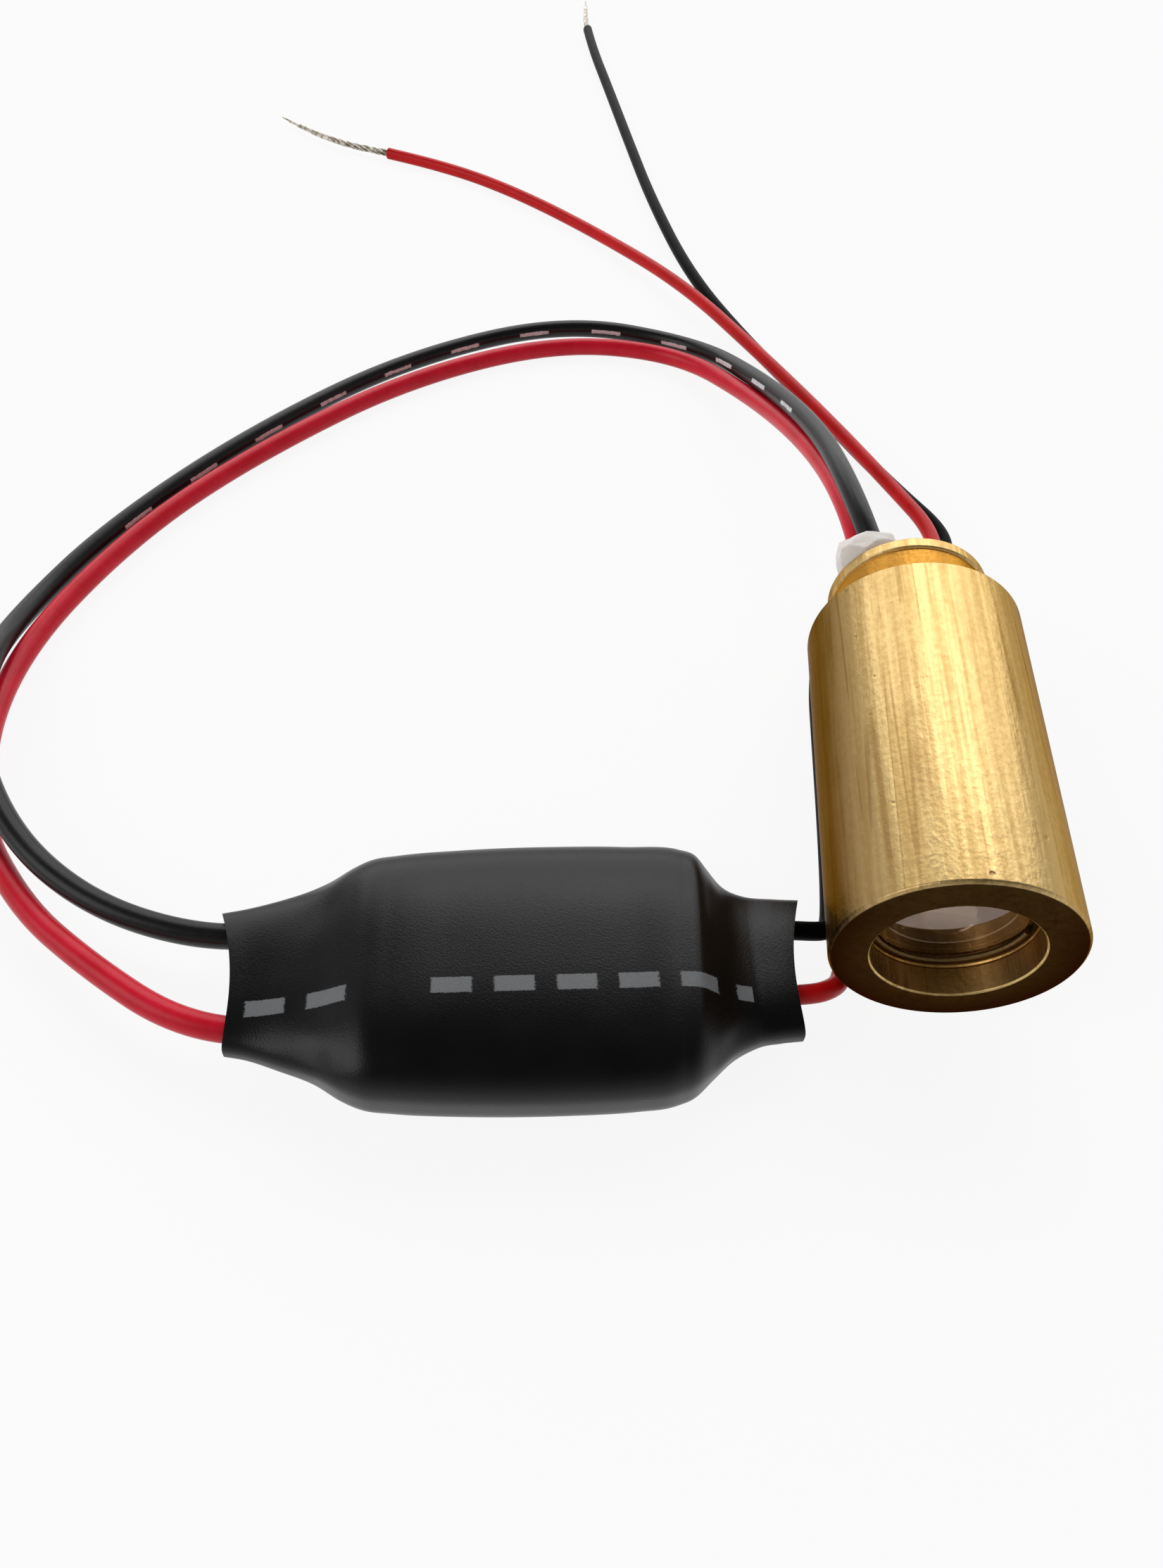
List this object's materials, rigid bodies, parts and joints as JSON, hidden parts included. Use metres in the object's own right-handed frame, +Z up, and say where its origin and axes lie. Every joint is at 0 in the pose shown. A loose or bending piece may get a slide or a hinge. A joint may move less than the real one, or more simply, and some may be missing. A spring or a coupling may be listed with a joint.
{
  "type": "laser diode module",
  "caption": "Small laser module: turned brass barrel with lens and diode, wired by a lead pair to a driver in heat-shrink, with two bare-ended supply leads.",
  "frame": {"origin": "on the table, under the middle of the laser head and the driver together", "axes": "+Y along the laser head's axis towards its rear, the beam leaves along -Y, +X to the right, +Z up"},
  "size_m": [0.0615, 0.1419, 0.012],
  "materials": {
    "brass": "satin",
    "lens_glass": "gloss",
    "gilt_steel": "satin",
    "solder": "satin",
    "white_glue": "satin",
    "heat_shrink": "satin",
    "circuit_board": "satin",
    "dark_component": "matte",
    "ceramic_component": "matte",
    "red_insulation": "satin",
    "black_insulation": "satin",
    "tinned_copper": "satin"
  },
  "bodies": {
    "root": {"barrel": "brass", "lens_retaining_ring": "brass", "collimating_lens": "lens_glass", "diode_holder": "brass", "diode_stem": "gilt_steel", "laser_chip": "dark_component", "diode_cap": "gilt_steel", "diode_window": "lens_glass", "diode_pins": "gilt_steel", "splice_solder": "solder", "glue_bead": "white_glue", "heat_shrink_sleeve": "heat_shrink", "driver_board": "circuit_board", "power_inductor": "dark_component", "driver_chip": "dark_component", "filter_capacitors": "ceramic_component", "rectifier_diode": "dark_component", "sense_resistors": "dark_component", "board_solder": "solder", "laser_lead_red": "red_insulation", "laser_lead_black": "black_insulation", "supply_lead_red": "red_insulation", "supply_lead_black": "black_insulation", "supply_strands_red": "tinned_copper", "supply_strands_black": "tinned_copper"}
  },
  "joints": []
}
